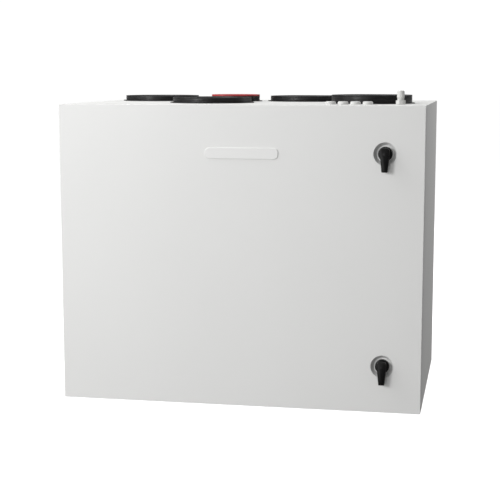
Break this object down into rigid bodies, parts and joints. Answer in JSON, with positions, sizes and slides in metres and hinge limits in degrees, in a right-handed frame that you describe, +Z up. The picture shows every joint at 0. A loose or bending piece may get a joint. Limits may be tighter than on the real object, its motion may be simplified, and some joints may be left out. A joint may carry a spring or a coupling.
{
  "type": "heat recovery unit",
  "caption": "White box-shaped heat recovery ventilation unit: front service door with lever latches, black duct collars, a capped hood collar and cable entries on top.",
  "frame": {"origin": "centre of the unit's footprint (door and casing) on the base plane", "axes": "+X to the right seen from the door side, +Y towards the back, +Z up"},
  "size_m": [1.0012, 0.6885, 0.8626],
  "materials": {
    "white_coat": "satin",
    "door_coat": "satin",
    "badge_white": "satin",
    "galvanised": "satin",
    "zinc_steel": "satin",
    "mineral_wool": "matte",
    "seal_rubber": "matte",
    "white_rubber": "matte",
    "black_nylon": "satin",
    "collar_black": "satin",
    "red_plastic": "satin",
    "white_nylon": "satin",
    "control_grey": "matte",
    "bare_aluminium": "satin",
    "wheel_foil": "satin",
    "motor_metal": "satin",
    "filter_paper": "matte"
  },
  "bodies": {
    "casing": {"air_heater": "zinc_steel", "back_insulation": "mineral_wool", "back_panel": "white_coat", "base_insulation": "mineral_wool", "base_panel": "white_coat", "cable_gland_body": "white_nylon", "cable_gland_nut": "white_nylon", "cable_grommets": "white_rubber", "collar_back_left": "collar_black", "collar_back_right": "collar_black", "collar_front_left": "collar_black", "collar_front_right": "collar_black", "controller_box": "control_grey", "controller_cover": "control_grey", "divider_shelves": "galvanised", "drive_belt": "seal_rubber", "drive_motor": "motor_metal", "exhaust_fan_motor": "motor_metal", "exhaust_fan_plate": "galvanised", "extract_filter": "filter_paper", "foot_nuts": "zinc_steel", "front_frame": "white_coat", "hinge_leaves_casing": "zinc_steel", "hinge_pins": "zinc_steel", "hood_collar": "collar_black", "inner_liner": "galvanised", "latch_strikes": "zinc_steel", "left_insulation": "mineral_wool", "left_panel": "white_coat", "plenum_divider": "galvanised", "rear_channels": "galvanised", "right_insulation": "mineral_wool", "right_panel": "white_coat", "rotor_axle": "zinc_steel", "rotor_cassette": "galvanised", "supply_fan_motor": "motor_metal", "supply_fan_plate": "galvanised", "supply_filter": "filter_paper", "top_insulation": "mineral_wool", "top_panel": "white_coat"},
    "door": {"door_skin": "door_coat", "door_insulation": "mineral_wool", "door_liner": "galvanised", "door_gasket": "seal_rubber", "badge_plate": "badge_white", "latch_housing_upper": "black_nylon", "latch_housing_lower": "black_nylon", "hinge_leaves_door": "zinc_steel"},
    "latch_upper": {"latch_lever_upper": "black_nylon", "latch_cam_upper": "zinc_steel", "cam_nut_upper": "zinc_steel"},
    "latch_lower": {"latch_lever_lower": "black_nylon", "latch_cam_lower": "zinc_steel", "cam_nut_lower": "zinc_steel"},
    "rotor_wheel": {"rotor_frame": "bare_aluminium", "rotor_matrix": "wheel_foil"},
    "belt_pulley": {"drive_pulley": "black_nylon"},
    "supply_fan": {"supply_impeller": "bare_aluminium"},
    "exhaust_fan": {"exhaust_impeller": "bare_aluminium"},
    "hood_lid": {"hood_cap": "red_plastic"}
  },
  "joints": [
    {"name": "door_hinge", "type": "hinge", "parent": "casing", "child": "door", "pos_m": [-0.498, -0.2825, 0.41], "axis": [0, 0, -1], "range_deg": [0, 100]},
    {"name": "latch_upper_turn", "type": "hinge", "parent": "door", "child": "latch_upper", "pos_m": [0.3957, -0.335, 0.6982], "axis": [0, -1, 0], "range_deg": [0, 90]},
    {"name": "latch_lower_turn", "type": "hinge", "parent": "door", "child": "latch_lower", "pos_m": [0.3957, -0.335, 0.127], "axis": [0, -1, 0], "range_deg": [0, 90]},
    {"name": "rotor_spin", "type": "hinge", "parent": "casing", "child": "rotor_wheel", "pos_m": [0, 0.01, 0.32], "axis": [1, 0, 0], "continuous": true},
    {"name": "pulley_spin", "type": "hinge", "parent": "casing", "child": "belt_pulley", "pos_m": [0, -0.19, 0.52], "axis": [1, 0, 0], "continuous": true},
    {"name": "supply_fan_spin", "type": "hinge", "parent": "casing", "child": "supply_fan", "pos_m": [0.3, -0.075, 0.65], "axis": [0, 0, 1], "continuous": true},
    {"name": "exhaust_fan_spin", "type": "hinge", "parent": "casing", "child": "exhaust_fan", "pos_m": [-0.275, 0.13, 0.186], "axis": [0, 1, 0], "continuous": true},
    {"name": "hood_cap_lift", "type": "slide", "parent": "casing", "child": "hood_lid", "axis": [0, 0, 1], "range_m": [0, 0.05]}
  ],
  "couplings": [
    {"joint": "pulley_spin", "follows": "rotor_spin", "ratio": 12.778}
  ]
}
